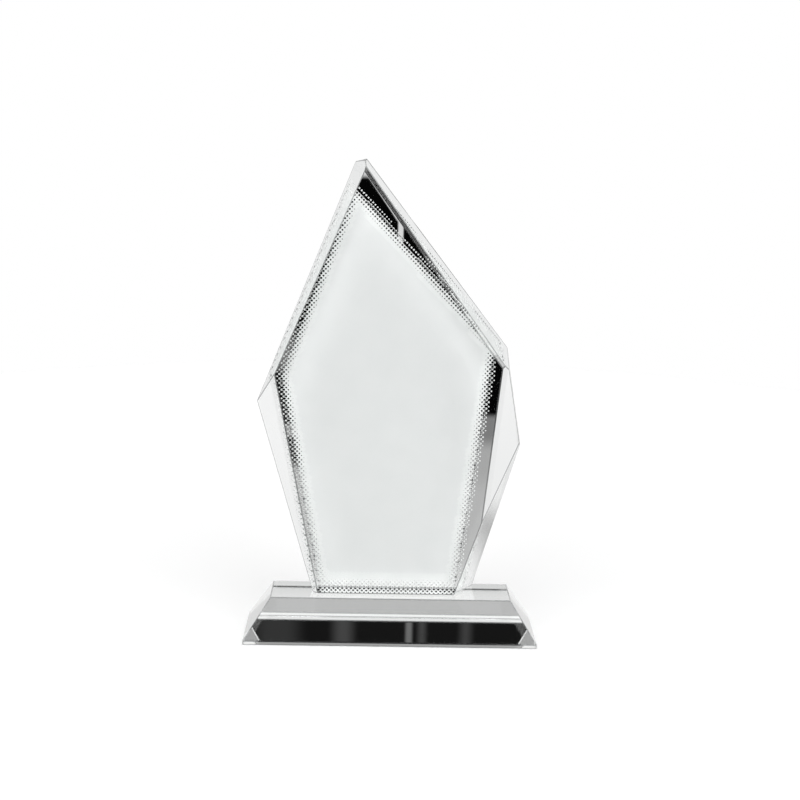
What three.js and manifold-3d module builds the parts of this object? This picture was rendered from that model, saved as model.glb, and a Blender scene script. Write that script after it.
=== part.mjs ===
// Crystal award: a thick faceted blade of clear optical crystal, bonded upright on a clear
// bevelled plinth, with a white printed panel on its back face that ends in a fringe of dots.
// Millimetres. +X is to the right of someone facing the award, -Y is its front, +Z is up,
// and the origin is the centre of the plinth's underside.
import * as THREE from "three";
import { mergeVertices } from "three/addons/utils/BufferGeometryUtils.js";
import Module from "manifold-3d";

const wasm = await Module();
wasm.setup();

// Plinth: a low block whose four sides lean in above a narrow upright rim.
const PLINTH_WIDTH = 118;
const PLINTH_DEPTH = 32;
const PLINTH_HEIGHT = 18;
const PLINTH_TOP_WIDTH = 96.7;
const PLINTH_TOP_DEPTH = 19.4;
const RIM_HEIGHT = 1.7;

// Blade: a plate with parallel front and back faces, stood off the plinth by the glue line.
const GLUE_THICKNESS = 0.3;
const BLADE_FOOT = PLINTH_HEIGHT + GLUE_THICKNESS;
const BLADE_THICKNESS = 12;
const BLADE_FRONT = -5;
const BLADE_BACK = BLADE_FRONT + BLADE_THICKNESS;

// The blade's outline at its back, as [x, z], clockwise from the left of the blunt tip.
const TIP_LEFT = [-16.9, 190.5];
const TIP_RIGHT = [-12.6, 191.6];
const SHOULDER = [44.8, 118.4];
const RIGHT_CORNER = [51.2, 81.2];
const BACK_FOOT_RIGHT = [33.8, BLADE_FOOT];
const BACK_FOOT_LEFT = [-31.5, BLADE_FOOT];
const LEFT_CORNER = [-54.4, 96.6];
const OUTLINE = [
  TIP_LEFT, TIP_RIGHT, SHOULDER, RIGHT_CORNER, BACK_FOOT_RIGHT, BACK_FOOT_LEFT, LEFT_CORNER,
];

// The flat front face, smaller than the outline, again as [x, z].
const FACE_TOP = [-13.3, 187.6];
const FACE_RIGHT = [42.0, 112.3];
const FACE_KNEE = [35.9, 48.6];
const FACE_FOOT_RIGHT = [25.8, BLADE_FOOT];
const FACE_FOOT_LEFT = [-29.5, BLADE_FOOT];
const FACE_LEFT = [-47.2, 108.6];

// The upper right facet starts as a shallow strip, and a steep facet carries on outside it.
const STRIP_WIDTH = 1.4;
const STRIP_SLOPE = 19;
const UPPER_RIGHT_SLOPE = 66;

// Facets ground along the front face's edges: [edge start, edge end, slope from the face].
const FACETS = [
  [FACE_TOP, FACE_RIGHT, STRIP_SLOPE],
  [FACE_RIGHT, FACE_KNEE, 26],
  [FACE_KNEE, FACE_FOOT_RIGHT, 57.5],
  [FACE_FOOT_LEFT, FACE_LEFT, 26],
  [FACE_LEFT, FACE_TOP, 67.4],
];
const SHOULDER_WALL_SLOPE = 83.5; // the short right side wall leans back a little

// Print on the back face, as [x, z]: its outer edge, where the last dots are.
const PRINT_OUTLINE = [
  [-17.5, 184.1], [41.4, 120.0], [28.1, 18.8], [-30.9, 18.8], [-47.2, 106.6],
];
const PRINT_THICKNESS = 0.1;
const FRINGE_WIDTH = 5.2; // the dots fade out over this width

const GLUE_INSET = 0.5;
const CUTTER_SIZE = 400;

function toSolid(geometry) {
  const bare = geometry.clone();
  bare.deleteAttribute("normal");
  bare.deleteAttribute("uv");
  const merged = mergeVertices(bare, 1e-4);
  return new wasm.Manifold(
    new wasm.Mesh({
      numProp: 3,
      vertProperties: merged.attributes.position.array,
      triVerts: new Uint32Array(merged.index.array),
    }),
  );
}

function toMesh(name, solid, material) {
  const { vertProperties, triVerts } = solid.getMesh();
  const geometry = new THREE.BufferGeometry();
  geometry.setAttribute("position", new THREE.BufferAttribute(vertProperties, 3));
  geometry.setIndex(new THREE.BufferAttribute(triVerts, 1));
  geometry.computeVertexNormals();
  const mesh = new THREE.Mesh(geometry, material);
  mesh.name = name;
  return mesh;
}

function toVectors(points) {
  return points.map(([u, v]) => new THREE.Vector2(u, v));
}

// A filled outline, with a hole if one is given. Both run clockwise, and a hole is turned round.
function shapeOf(points, hole) {
  const shape = new THREE.Shape(toVectors(points));
  if (hole) shape.holes.push(new THREE.Path(toVectors(hole).reverse()));
  return shape;
}

// A plate standing in the XZ plane between y = front and y = front + thickness.
function uprightPlate(shape, front, thickness) {
  const geometry = new THREE.ExtrudeGeometry(shape, { depth: thickness, bevelEnabled: false });
  geometry.rotateX(Math.PI / 2).translate(0, front + thickness, 0);
  return toSolid(geometry);
}

// A plate lying in the XY plane between z = bottom and z = bottom + thickness.
function flatPlate(shape, bottom, thickness) {
  const geometry = new THREE.ExtrudeGeometry(shape, { depth: thickness, bevelEnabled: false });
  geometry.translate(0, 0, bottom);
  return toSolid(geometry);
}

// Removes everything on the outer side of the plane through point with the given outward normal.
function cutBy(solid, point, normal) {
  const outward = normal.clone().normalize();
  const cutter = new THREE.BoxGeometry(CUTTER_SIZE, CUTTER_SIZE, CUTTER_SIZE);
  cutter.applyQuaternion(
    new THREE.Quaternion().setFromUnitVectors(new THREE.Vector3(0, 0, 1), outward),
  );
  const centre = point.clone().addScaledVector(outward, CUTTER_SIZE / 2);
  cutter.translate(centre.x, centre.y, centre.z);
  return solid.subtract(toSolid(cutter));
}

// The unit vector in the plate's plane that points out of the edge from a to b, taken clockwise.
function outOfEdge([ax, az], [bx, bz]) {
  return new THREE.Vector2(az - bz, bx - ax).normalize();
}

// The edge from a to b, taken clockwise, moved outwards by distance.
function shiftOut(a, b, distance) {
  const out = outOfEdge(a, b).multiplyScalar(distance);
  return [a, b].map(([x, z]) => [x + out.x, z + out.y]);
}

// Grinds one facet along the edge from a to b, which lies at depth y, sloping by degrees from
// the front face and running outwards and back.
function grindFacet(solid, a, b, y, degrees) {
  const out = outOfEdge(a, b);
  const slope = THREE.MathUtils.degToRad(degrees);
  const normal = new THREE.Vector3(
    out.x * Math.sin(slope), -Math.cos(slope), out.y * Math.sin(slope),
  );
  return cutBy(solid, new THREE.Vector3(a[0], y, a[1]), normal);
}

// The polygon whose edges lie inside those of points, which run clockwise, by distance.
function inset(points, distance) {
  return points.map((corner, i) => {
    const before = points.at(i - 1);
    const after = points[(i + 1) % points.length];
    const n1 = outOfEdge(before, corner);
    const n2 = outOfEdge(corner, after);
    const reach = distance / (1 + n1.dot(n2));
    return [corner[0] - reach * (n1.x + n2.x), corner[1] - reach * (n1.y + n2.y)];
  });
}

function crystalBlade() {
  let blade = uprightPlate(shapeOf(OUTLINE), BLADE_FRONT, BLADE_THICKNESS);
  for (const [start, end, slope] of FACETS) {
    blade = grindFacet(blade, start, end, BLADE_FRONT, slope);
  }
  const [start, end] = shiftOut(FACE_TOP, FACE_RIGHT, STRIP_WIDTH);
  const stripDepth = STRIP_WIDTH * Math.tan(THREE.MathUtils.degToRad(STRIP_SLOPE));
  blade = grindFacet(blade, start, end, BLADE_FRONT + stripDepth, UPPER_RIGHT_SLOPE);
  return grindFacet(blade, SHOULDER, RIGHT_CORNER, BLADE_BACK, SHOULDER_WALL_SLOPE);
}

function crystalPlinth() {
  const halfWidth = PLINTH_WIDTH / 2;
  const halfDepth = PLINTH_DEPTH / 2;
  const rectangle = shapeOf([
    [-halfWidth, -halfDepth], [halfWidth, -halfDepth],
    [halfWidth, halfDepth], [-halfWidth, halfDepth],
  ]);
  const rise = PLINTH_HEIGHT - RIM_HEIGHT;
  const endRun = (PLINTH_WIDTH - PLINTH_TOP_WIDTH) / 2;
  const sideRun = (PLINTH_DEPTH - PLINTH_TOP_DEPTH) / 2;
  let plinth = flatPlate(rectangle, 0, PLINTH_HEIGHT);
  for (const side of [-1, 1]) {
    const endRim = new THREE.Vector3(side * halfWidth, 0, RIM_HEIGHT);
    const sideRim = new THREE.Vector3(0, side * halfDepth, RIM_HEIGHT);
    plinth = cutBy(plinth, endRim, new THREE.Vector3(side * rise, 0, endRun));
    plinth = cutBy(plinth, sideRim, new THREE.Vector3(0, side * rise, sideRun));
  }
  return plinth;
}

// The glue covers the blade's foot, short of its edges.
function glueLayer() {
  const leftRun = 1; // the left facet has only just started at the foot
  const footprint = [
    [FACE_FOOT_LEFT[0], BLADE_FRONT],
    [BACK_FOOT_LEFT[0], BLADE_FRONT + leftRun],
    [BACK_FOOT_LEFT[0], BLADE_BACK],
    [BACK_FOOT_RIGHT[0], BLADE_BACK],
    [FACE_FOOT_RIGHT[0], BLADE_FRONT],
  ];
  return flatPlate(shapeOf(inset(footprint, GLUE_INSET)), PLINTH_HEIGHT, GLUE_THICKNESS);
}

const clear = { transparent: true, opacity: 0.35, metalness: 0 };
const bladeCrystal = new THREE.MeshStandardMaterial({ color: 0xf4f8f7, roughness: 0.02, ...clear });
const plinthCrystal = new THREE.MeshStandardMaterial({ color: 0xf1f5f2, roughness: 0.03, ...clear });
const clearGlue = new THREE.MeshStandardMaterial({ color: 0xf6f6ee, roughness: 0.15, ...clear });
const whitePrint = new THREE.MeshStandardMaterial({ color: 0xe6e9e8, roughness: 0.45, metalness: 0 });
const dottedPrint = new THREE.MeshStandardMaterial({ color: 0xf0f2f1, roughness: 0.5, metalness: 0 });

const panelOutline = inset(PRINT_OUTLINE, FRINGE_WIDTH);
const panel = uprightPlate(shapeOf(panelOutline), BLADE_BACK, PRINT_THICKNESS);
const fringe = uprightPlate(shapeOf(PRINT_OUTLINE, panelOutline), BLADE_BACK, PRINT_THICKNESS);

const award = new THREE.Group();
award.add(
  toMesh("crystal_blade", crystalBlade(), bladeCrystal),
  toMesh("crystal_base", crystalPlinth(), plinthCrystal),
  toMesh("adhesive_bond", glueLayer(), clearGlue),
  toMesh("white_print_panel", panel, whitePrint),
  toMesh("halftone_border", fringe, dottedPrint),
);

export default award;
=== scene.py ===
"""Crystal award: the looks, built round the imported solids. Metres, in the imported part's own frame."""
import math

import bmesh
import bpy
from mathutils import Matrix, Vector
from mathutils.geometry import convex_hull_2d


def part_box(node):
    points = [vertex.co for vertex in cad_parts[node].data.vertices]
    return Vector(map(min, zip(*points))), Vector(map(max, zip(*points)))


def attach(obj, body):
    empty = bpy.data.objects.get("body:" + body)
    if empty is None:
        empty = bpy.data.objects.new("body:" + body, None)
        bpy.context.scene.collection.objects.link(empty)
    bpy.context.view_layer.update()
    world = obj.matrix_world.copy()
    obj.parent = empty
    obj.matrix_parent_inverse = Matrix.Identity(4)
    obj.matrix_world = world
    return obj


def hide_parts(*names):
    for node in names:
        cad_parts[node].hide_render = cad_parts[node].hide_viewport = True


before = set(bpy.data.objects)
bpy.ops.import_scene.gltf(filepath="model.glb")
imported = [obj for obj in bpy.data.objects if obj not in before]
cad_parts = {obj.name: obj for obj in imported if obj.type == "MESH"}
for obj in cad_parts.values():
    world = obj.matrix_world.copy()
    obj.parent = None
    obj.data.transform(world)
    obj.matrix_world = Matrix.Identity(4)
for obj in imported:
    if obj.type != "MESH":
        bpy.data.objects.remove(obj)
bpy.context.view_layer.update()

MM = 0.001


# ---------------------------------------------------------------- camera

CAMERA_PLACE = Vector((-9.2, -517.1, 211.0)) * MM
CAMERA_PITCH = math.radians(-12.34)
CAMERA_YAW = math.radians(-1.26)  # towards +X
CAMERA_ROLL = math.radians(1.31)
CAMERA_SENSOR = 36.0
CAMERA_LENS = 60.075
CAMERA_CLIP = (0.01, 20.0)


def make_camera():
    data = bpy.data.cameras.new("camera")
    data.lens = CAMERA_LENS
    data.sensor_width = CAMERA_SENSOR
    data.clip_start, data.clip_end = CAMERA_CLIP
    camera = bpy.data.objects.new("camera", data)
    bpy.context.scene.collection.objects.link(camera)
    turn = Matrix.Rotation(CAMERA_YAW, 4, "Z")
    tilt = Matrix.Rotation(math.pi / 2 + CAMERA_PITCH, 4, "X")
    roll = Matrix.Rotation(CAMERA_ROLL, 4, "Z")
    camera.matrix_world = Matrix.Translation(CAMERA_PLACE) @ turn @ tilt @ roll
    bpy.context.scene.camera = camera


# ---------------------------------------------------------------- node helpers

class Tree:
    """A node tree that is written one call per node. An argument is a number, a vector or a socket."""

    def __init__(self, tree):
        self.tree = tree
        tree.nodes.clear()

    def node(self, kind, inputs=(), **settings):
        made = self.tree.nodes.new(kind)
        for name, value in settings.items():
            setattr(made, name, value)
        for name, value in dict(inputs).items():
            self.put(made.inputs[name], value)
        return made

    def put(self, socket, value):
        if isinstance(value, bpy.types.NodeSocket):
            self.tree.links.new(value, socket)
        else:
            socket.default_value = value

    def math(self, operation, a, b=0.0):
        return self.node("ShaderNodeMath", {0: a, 1: b}, operation=operation).outputs[0]

    def noise(self, place, size, detail):
        """Cloudy noise from 0 to 1 whose largest blobs are about size, in metres."""
        made = self.node("ShaderNodeTexNoise", {"Vector": place, "Scale": 1 / size, "Detail": detail})
        return made.outputs["Fac"]

    def ramp(self, value, low, high, start=0.0, end=1.0):
        """start below low, end above high and a smooth step between them."""
        made = self.node(
            "ShaderNodeMapRange",
            {"Value": value, "From Min": low, "From Max": high, "To Min": start, "To Max": end},
            interpolation_type="SMOOTHSTEP",
        )
        return made.outputs["Result"]

    def band(self, value, low, high, soft):
        """1 between low and high and 0 outside, with edges that are soft wide."""
        rise = self.ramp(value, low - soft / 2, low + soft / 2)
        fall = self.ramp(value, high - soft / 2, high + soft / 2, 1.0, 0.0)
        return self.math("MULTIPLY", rise, fall)

    def mix(self, factor, a, b):
        """The number a where factor is 0 and the number b where it is 1."""
        return self.node("ShaderNodeMix", {0: factor, 2: a, 3: b}, data_type="FLOAT").outputs[0]

    def mix_colour(self, factor, a, b):
        """The colour a where factor is 0 and the colour b where it is 1."""
        made = self.node("ShaderNodeMix", {0: factor, 6: (*a, 1), 7: (*b, 1)}, data_type="RGBA")
        return made.outputs[2]

    def azimuth(self, direction):
        """Degrees clockwise from +Y, seen from above."""
        parts = self.node("ShaderNodeSeparateXYZ", {"Vector": direction})
        return self.math("DEGREES", self.math("ARCTAN2", parts.outputs[0], parts.outputs[1]))


# ---------------------------------------------------------------- studio

# Cards round the award, which only the crystal and the print see. Each row has a label, the
# azimuth of its middle and half its width, clockwise from straight behind, its lowest and highest
# elevation, how soft its edges are (all in degrees), and its brightness. A later card covers an
# earlier one.
CARDS = [
    ("left_wall", -62, 32, -20, 60, 8, 0.78),
    ("right_wall", 62, 32, -90, 60, 8, 0.82),
    ("left_end_card", -82, 14, -30, 50, 12, 0.5),
    ("right_end_card", 82, 14, -30, 50, 12, 0.5),
    ("left_softbox", -140, 26, -10, 60, 6, 2.1),
    ("right_softbox", 140, 26, -10, 60, 6, 2.1),
    ("front_dark", 180, 15, -40, 45, 5, 0.02),
    ("front_table", 180, 40, -90, -36, 10, 0.51),
    ("front_softbox", 180, 60, 48, 90, 8, 1.6),
    ("gap_between_cards", 0, 12, -2.5, 13, 1.0, 0.4),
    ("table_behind", 0, 9, -45, -20.2, 0.8, 1.0),
    ("shade_below_card", 0.8, 6.2, -20, -12.5, 3.0, 0.5),
    ("soft_hem", 0.8, 6.2, -15.8, -12.5, 1.2, 0.42),
    ("dark_hem", 0.8, 6.2, -14.1, -12.5, 0.8, 0.22),
    ("low_black_card", 0, 8.6, -12.9, -2.85, 0.3, 0.0),
    ("low_card_left_tail", -3, 2.6, -15.2, -12.5, 0.6, 0.02),
    ("glint_on_tail", -3.7, 0.5, -13.95, -13.45, 0.2, 0.35),
    ("haze_on_card", -4.0, 0.6, -11.1, -9.6, 0.6, 0.18),
    ("left_corner_shade", -34, 2.2, -9, -4, 1.5, 0.3),
    ("right_corner_shade", 33.5, 3.5, -8.5, -2.5, 1.5, 0.3),
    ("high_black_card", 0, 8.6, 12, 29, 1.5, 0.007),
    ("streak_far_left", -4.1, 0.9, 12, 29, 1.1, 0.035),
    ("streak_left", -1.1, 0.4, 12, 29, 0.7, 0.06),
    ("streak_middle", 1.9, 0.14, 12, 29, 0.2, 0.16),
    ("streak_beside_it", 2.5, 0.16, 12, 29, 0.35, 0.06),
    ("streak_right", 4.5, 0.22, 12, 29, 0.5, 0.05),
]
OPEN_WALL = 0.86
BACKDROP = 1.0  # what the camera itself sees

# A slanted slit of light in the low black card: azimuth and elevation of its two corners, its
# width in azimuth, the elevations of its foot and head, and the softness of its sides and ends.
SLIT_TOP = (-0.30, -2.9)
SLIT_BEND = (1.02, -4.75)
SLIT_WIDTH = 0.22
SLIT_FOOT = -5.6
SLIT_HEAD = -1.9
SLIT_SIDE_SOFT = 0.08
SLIT_END_SOFT = 0.3
SLIT_BRIGHTNESS = 0.75


def make_world():
    """A white studio in which the glass sees a dark card straight behind the award."""
    world = bpy.data.worlds.new("studio")
    bpy.context.scene.world = world
    world.use_nodes = True
    t = Tree(world.node_tree)
    direction = t.node("ShaderNodeTexCoord").outputs["Generated"]
    height = t.node("ShaderNodeSeparateXYZ", {"Vector": direction}).outputs[2]
    elevation = t.math("DEGREES", t.math("ARCSINE", height))
    light = OPEN_WALL
    for _, middle, half_width, low, high, soft, brightness in CARDS:
        turned = t.node(
            "ShaderNodeVectorRotate",
            {"Vector": direction, "Angle": math.radians(middle)},
            rotation_type="Z_AXIS",
        )
        card = t.math(
            "MULTIPLY",
            t.band(t.azimuth(turned.outputs[0]), -half_width, half_width, soft),
            t.band(elevation, low, high, soft),
        )
        light = t.mix(card, light, brightness)
    light = t.mix(slit_of_light(t, direction, elevation), light, SLIT_BRIGHTNESS)
    seen = t.node("ShaderNodeLightPath").outputs["Is Camera Ray"]
    light = t.mix(seen, light, BACKDROP)
    background = t.node("ShaderNodeBackground", {"Color": (1, 1, 1, 1), "Strength": light})
    t.node("ShaderNodeOutputWorld", {"Surface": background.outputs[0]})


def slit_of_light(t, direction, elevation):
    """1 along the slit in the low black card and 0 elsewhere."""
    lean = (SLIT_BEND[0] - SLIT_TOP[0]) / (SLIT_BEND[1] - SLIT_TOP[1])
    start = SLIT_TOP[0] - lean * SLIT_TOP[1]
    slanted_edge = t.math("ADD", t.math("MULTIPLY", elevation, lean), start)
    edge = t.math("MINIMUM", slanted_edge, SLIT_BEND[0])
    past_edge = t.math("SUBTRACT", t.azimuth(direction), edge)
    return t.math(
        "MULTIPLY",
        t.band(past_edge, 0.0, SLIT_WIDTH, SLIT_SIDE_SOFT),
        t.band(elevation, SLIT_FOOT, SLIT_HEAD, SLIT_END_SOFT),
    )


FLOOR_RADIUS = 0.6
FLOOR_GAP = 0.2 * MM
FLOOR_SIDES = 96
FLOOR_COLOUR = (0.97, 0.97, 0.97, 1)


def make_floor():
    """A pale paper disc. Rays that leave the crystal miss it and see the cards below it instead."""
    mesh = bpy.data.meshes.new("floor")
    bm = bmesh.new()
    bmesh.ops.create_circle(bm, cap_ends=True, segments=FLOOR_SIDES, radius=FLOOR_RADIUS)
    bm.to_mesh(mesh)
    bm.free()
    floor = bpy.data.objects.new("floor", mesh)
    bpy.context.scene.collection.objects.link(floor)
    floor.location = (0, 0, -FLOOR_GAP)
    material = bpy.data.materials.new("floor_paper")
    material.use_nodes = True
    t = Tree(material.node_tree)
    shader = t.node("ShaderNodeBsdfDiffuse", {"Color": FLOOR_COLOUR})
    t.node("ShaderNodeOutputMaterial", {"Surface": shader.outputs[0]})
    mesh.materials.append(material)
    floor.visible_transmission = False
    floor.visible_glossy = False
    floor.visible_diffuse = False


# ---------------------------------------------------------------- materials

CRYSTAL_INDEX = 1.5168
HAZE_STARTS = 0.4  # on the noise's scale of 0 to 1
HAZE_FULL = 0.75
HAZE_DETAIL = 5.0
# Dark grey glass tint on the arris faces: painted shade for the dark lines along the crystal's edges.
ARRIS_PAINTED_SHADE_TINT = (0.27, 0.28, 0.28)
ARRIS_ROUGHNESS = 0.25


def crystal(name, tint, haze, haze_size):
    """Clear polished crystal, with cloudy wiping marks of about haze_size as rough as haze.

    Faces marked as arris are finely ground instead, so they are rougher, and their dark grey tint is
    painted shade for the dark lines along the edges.
    """
    material = bpy.data.materials.new(name)
    material.use_nodes = True
    t = Tree(material.node_tree)
    place = t.node("ShaderNodeTexCoord").outputs["Object"]
    clouds = t.noise(place, haze_size, HAZE_DETAIL)
    arris = t.node("ShaderNodeAttribute", attribute_name="arris").outputs["Fac"]
    polish = t.ramp(clouds, HAZE_STARTS, HAZE_FULL, 0.0, haze)
    shader = t.node("ShaderNodeBsdfPrincipled", {
        "Base Color": t.mix_colour(arris, tint, ARRIS_PAINTED_SHADE_TINT),
        "Roughness": t.mix(arris, polish, ARRIS_ROUGHNESS),
        "IOR": CRYSTAL_INDEX,
        "Transmission Weight": 1.0,
    })
    t.node("ShaderNodeOutputMaterial", {"Surface": shader.outputs[0]})
    return material


INK_GRAIN = 0.35 * MM
INK_CLOUD = 9 * MM
GRAIN_DETAIL = 2.0
CLOUD_DETAIL = 3.0
GRAIN_SHARE = 0.25  # the rest of the colour's unevenness is cloud
INK_THIN = 0.35  # on the noise's scale of 0 to 1
INK_THICK = 0.65
INK_ROUGHNESS = (0.42, 0.6)
GRAIN_RANGE = (0.3, 0.7)
GRAIN_BUMP = 0.15
GRAIN_HEIGHT = 0.02 * MM


def ink(name, thin, thick):
    """White ink, cloudy where it lies thinner, with the fine grain of a screen print."""
    material = bpy.data.materials.new(name)
    material.use_nodes = True
    t = Tree(material.node_tree)
    place = t.node("ShaderNodeTexCoord").outputs["Object"]
    cloud = t.noise(place, INK_CLOUD, CLOUD_DETAIL)
    grain = t.noise(place, INK_GRAIN, GRAIN_DETAIL)
    spread = t.mix(GRAIN_SHARE, cloud, grain)
    bump = t.node(
        "ShaderNodeBump",
        {"Height": grain, "Strength": GRAIN_BUMP, "Distance": GRAIN_HEIGHT},
    )
    shader = t.node("ShaderNodeBsdfPrincipled", {
        "Base Color": t.mix_colour(t.ramp(spread, INK_THIN, INK_THICK), thin, thick),
        "Roughness": t.ramp(grain, *GRAIN_RANGE, *INK_ROUGHNESS),
        "Normal": bump.outputs["Normal"],
    })
    t.node("ShaderNodeOutputMaterial", {"Surface": shader.outputs[0]})
    return material


# ---------------------------------------------------------------- print

PRINT_SINK = 0.02 * MM  # how far the fringe reaches into the blade's back, and the panel half that
SAME_POINT = 0.001 * MM
WELD = 0.0001 * MM
PANEL_THIN = (0.83, 0.842, 0.84)
PANEL_THICK = (0.85, 0.86, 0.858)


def outline_of(node):
    """The convex outline of an upright plate node, as (x, z) points."""
    points = [Vector((v.co.x, v.co.z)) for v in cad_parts[node].data.vertices]
    hull = [points[i] for i in convex_hull_2d(points)]
    return [p for i, p in enumerate(hull) if (p - hull[i - 1]).length > SAME_POINT]


def depth_from_edge(outline, i, point):
    """How far point is inside edge i of an outline that runs counter-clockwise."""
    edge = (outline[(i + 1) % len(outline)] - outline[i]).normalized()
    return edge.x * (point.y - outline[i].y) - edge.y * (point.x - outline[i].x)


def depth_inside(outline, point):
    """How far point is inside a convex outline. Negative outside."""
    return min(depth_from_edge(outline, i, point) for i in range(len(outline)))


def new_piece(name, bm, material):
    """A scene object made of bm, which is used up."""
    mesh = bpy.data.meshes.new(name)
    bmesh.ops.remove_doubles(bm, verts=bm.verts, dist=WELD)
    bmesh.ops.recalc_face_normals(bm, faces=bm.faces)
    bm.to_mesh(mesh)
    bm.free()
    mesh.materials.append(material)
    piece = bpy.data.objects.new(name, mesh)
    bpy.context.scene.collection.objects.link(piece)
    return piece


def thicken(bm, y_back):
    """Turns the flat faces of bm, which lie in one upright plane, into closed plates."""
    made = bmesh.ops.extrude_face_region(bm, geom=list(bm.faces))
    for v in made["geom"]:
        if isinstance(v, bmesh.types.BMVert):
            v.co.y = y_back


def make_panel():
    """The solid part of the print."""
    low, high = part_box("white_print_panel")
    outline = outline_of("white_print_panel")
    bm = bmesh.new()
    bm.faces.new([bm.verts.new((p.x, low.y - PRINT_SINK / 2, p.y)) for p in outline])
    thicken(bm, high.y)
    piece = new_piece("print_panel", bm, ink("panel_ink", PANEL_THIN, PANEL_THICK))
    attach(piece, "root")
    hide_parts("white_print_panel")


DOT_PITCH = 1.27 * MM
HOLE_SIDES = 12
EDGE_COVER = 0.12  # the share of the surface that is inked at the fringe's outer edge
COVER_CURVE = 1.3
DOTS_BELOW = 0.5  # dots where less than this share is inked
HOLES_ABOVE = 0.45  # a sheet with holes where more than this share is inked
SMALLEST_HOLE = 0.08  # of the distance from a hole's centre to its square's corner
FRINGE_BACK = 0.03 * MM  # how much thinner the fringe is at its back than the panel it runs into
FRINGE_THIN = (0.87, 0.885, 0.88)
FRINGE_THICK = (0.9, 0.91, 0.905)
FOOT_CUT = 1.8 * MM  # how much of the fringe is missing at the foot, where the blade ends


def ink_cover(share):
    """The share of the surface that is inked, for a share of the way in from the outer edge."""
    return 1 - (1 - EDGE_COVER) * max(1 - share, 0.0) ** COVER_CURVE


def fringe_depth(outer, foot, point):
    """How far point is inside the fringe, whose outer edge would lie below the foot by FOOT_CUT."""
    ends = [outer[(i + 1) % len(outer)] for i in range(len(outer))]
    sides = [i for i, end in enumerate(ends) if max(outer[i].y, end.y) > foot]
    side_depths = [depth_from_edge(outer, i, point) for i in sides]
    return min([point.y - foot + FOOT_CUT, *side_depths])


def make_fringe():
    """Round dots that grow inwards until they touch, and past that a sheet with shrinking holes."""
    low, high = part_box("halftone_border")
    outer = outline_of("halftone_border")
    inner = outline_of("white_print_panel")
    width = min(depth_inside(outer, p) for p in inner)
    front = low.y - PRINT_SINK
    foot = min(p.y for p in outer) + SAME_POINT
    bm = bmesh.new()
    step = DOT_PITCH / math.sqrt(2)
    columns = range(math.floor(low.x / step), math.ceil(high.x / step) + 1)
    rows = range(math.floor(low.z / step), math.ceil(high.z / step) + 1)
    for i in columns:
        for j in rows:
            centre = Vector((i * step, j * step))
            if not 0 < depth_inside(outer, centre) < width + step:
                continue
            cover = ink_cover(fringe_depth(outer, foot, centre) / width)
            dot = (i + j) % 2 == 0
            if dot and cover < DOTS_BELOW:
                add_dot(bm, centre, front, DOT_PITCH * math.sqrt(cover / math.pi))
            elif not dot and cover > HOLES_ABOVE:
                hole = DOT_PITCH * math.sqrt((1 - cover) / math.pi)
                add_holed_square(bm, centre, front, step, hole)
    thicken(bm, high.y - FRINGE_BACK)
    piece = new_piece("print_fringe", bm, ink("fringe_ink", FRINGE_THIN, FRINGE_THICK))
    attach(piece, "root")
    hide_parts("halftone_border")


def circle(centre, radius):
    angles = [k * math.tau / HOLE_SIDES for k in range(HOLE_SIDES)]
    return [centre + radius * Vector((math.cos(a), math.sin(a))) for a in angles]


def add_dot(bm, centre, y, radius):
    bm.faces.new([bm.verts.new((p.x, y, p.y)) for p in circle(centre, radius)])


def add_holed_square(bm, centre, y, reach, hole):
    """A square standing on its corner, reach from centre to corner, with a round hole."""
    corners = [centre + reach * Vector(c) for c in ((1, 0), (0, 1), (-1, 0), (0, -1))]
    if hole < SMALLEST_HOLE * reach:
        bm.faces.new([bm.verts.new((p.x, y, p.y)) for p in corners])
        return
    rim = [bm.verts.new((p.x, y, p.y)) for p in circle(centre, hole)]
    square = [bm.verts.new((p.x, y, p.y)) for p in corners]
    per_side = HOLE_SIDES // 4
    for k in range(4):
        here, there = square[k], square[(k + 1) % 4]
        arc = [rim[(k * per_side + s) % HOLE_SIDES] for s in range(per_side + 1)]
        bm.faces.new([here, there, *reversed(arc)])


# ---------------------------------------------------------------- crystal

ARRIS_ANGLE = math.radians(4)  # flatter edges get no arris
SEAM_ANGLE = math.radians(1)  # flatter edges are only seams between triangles
ARRIS_STEPS = 2


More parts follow.
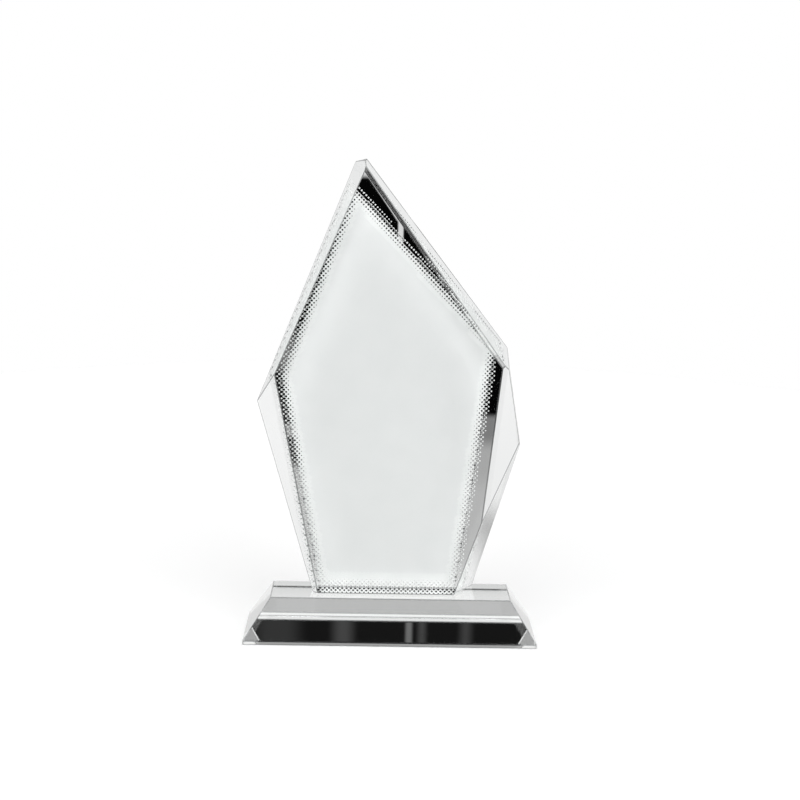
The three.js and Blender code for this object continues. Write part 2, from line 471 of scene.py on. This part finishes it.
def make_crystal(name, node, material, arris):
    """A copy of a CAD solid whose edges have a narrow ground arris, as cut crystal has."""
    bm = bmesh.new()
    bm.from_mesh(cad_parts[node].data)
    bmesh.ops.remove_doubles(bm, verts=bm.verts, dist=SAME_POINT)
    bmesh.ops.dissolve_limit(bm, angle_limit=SEAM_ANGLE, verts=bm.verts, edges=bm.edges)
    edges = [e for e in bm.edges if e.calc_face_angle(0.0) > ARRIS_ANGLE]
    mark = bm.faces.layers.float.new("arris")
    made = bmesh.ops.bevel(
        bm, geom=edges, offset=arris, segments=ARRIS_STEPS, profile=0.5, affect="EDGES",
    )
    for face in made["faces"]:
        face[mark] = 1.0
    piece = new_piece(name, bm, material)
    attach(piece, "root")
    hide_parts(node)


GLUE_GAP = 0.03 * MM
GLUE_TINT = (0.96, 0.96, 0.93)
GLUE_HAZE = 0.08
GLUE_HAZE_SIZE = 2 * MM


def make_glue():
    """The cured glue, a hair clear of both crystals, so that the blade's foot mirrors the print."""
    bm = bmesh.new()
    bm.from_mesh(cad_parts["adhesive_bond"].data)
    low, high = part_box("adhesive_bond")
    middle = (low.z + high.z) / 2
    for v in bm.verts:
        v.co.z += GLUE_GAP if v.co.z < middle else -GLUE_GAP
    glue = crystal("clear_adhesive", GLUE_TINT, GLUE_HAZE, GLUE_HAZE_SIZE)
    piece = new_piece("glue_film", bm, glue)
    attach(piece, "root")
    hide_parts("adhesive_bond")


BLADE_TINT = (0.985, 0.992, 0.99)
BASE_TINT = (0.98, 0.99, 0.985)
CRYSTAL_HAZE = 0.03
BLADE_HAZE_SIZE = 14 * MM
BASE_HAZE_SIZE = 10 * MM
BLADE_ARRIS = 0.3 * MM
BASE_ARRIS = 0.35 * MM

make_camera()
make_world()
make_floor()
make_panel()
make_fringe()
blade_glass = crystal("blade_crystal", BLADE_TINT, CRYSTAL_HAZE, BLADE_HAZE_SIZE)
base_glass = crystal("base_crystal", BASE_TINT, CRYSTAL_HAZE, BASE_HAZE_SIZE)
make_crystal("faceted_blade", "crystal_blade", blade_glass, BLADE_ARRIS)
make_crystal("bevelled_base", "crystal_base", base_glass, BASE_ARRIS)
make_glue()

scene = bpy.context.scene
scene.view_settings.view_transform = "Standard"
scene.cycles.use_denoising = True
scene.cycles.max_bounces = 32
scene.cycles.transmission_bounces = 24
scene.cycles.glossy_bounces = 16
scene.cycles.diffuse_bounces = 6
scene.cycles.caustics_refractive = True
scene.cycles.caustics_reflective = True
scene.cycles.blur_glossy = 0.0
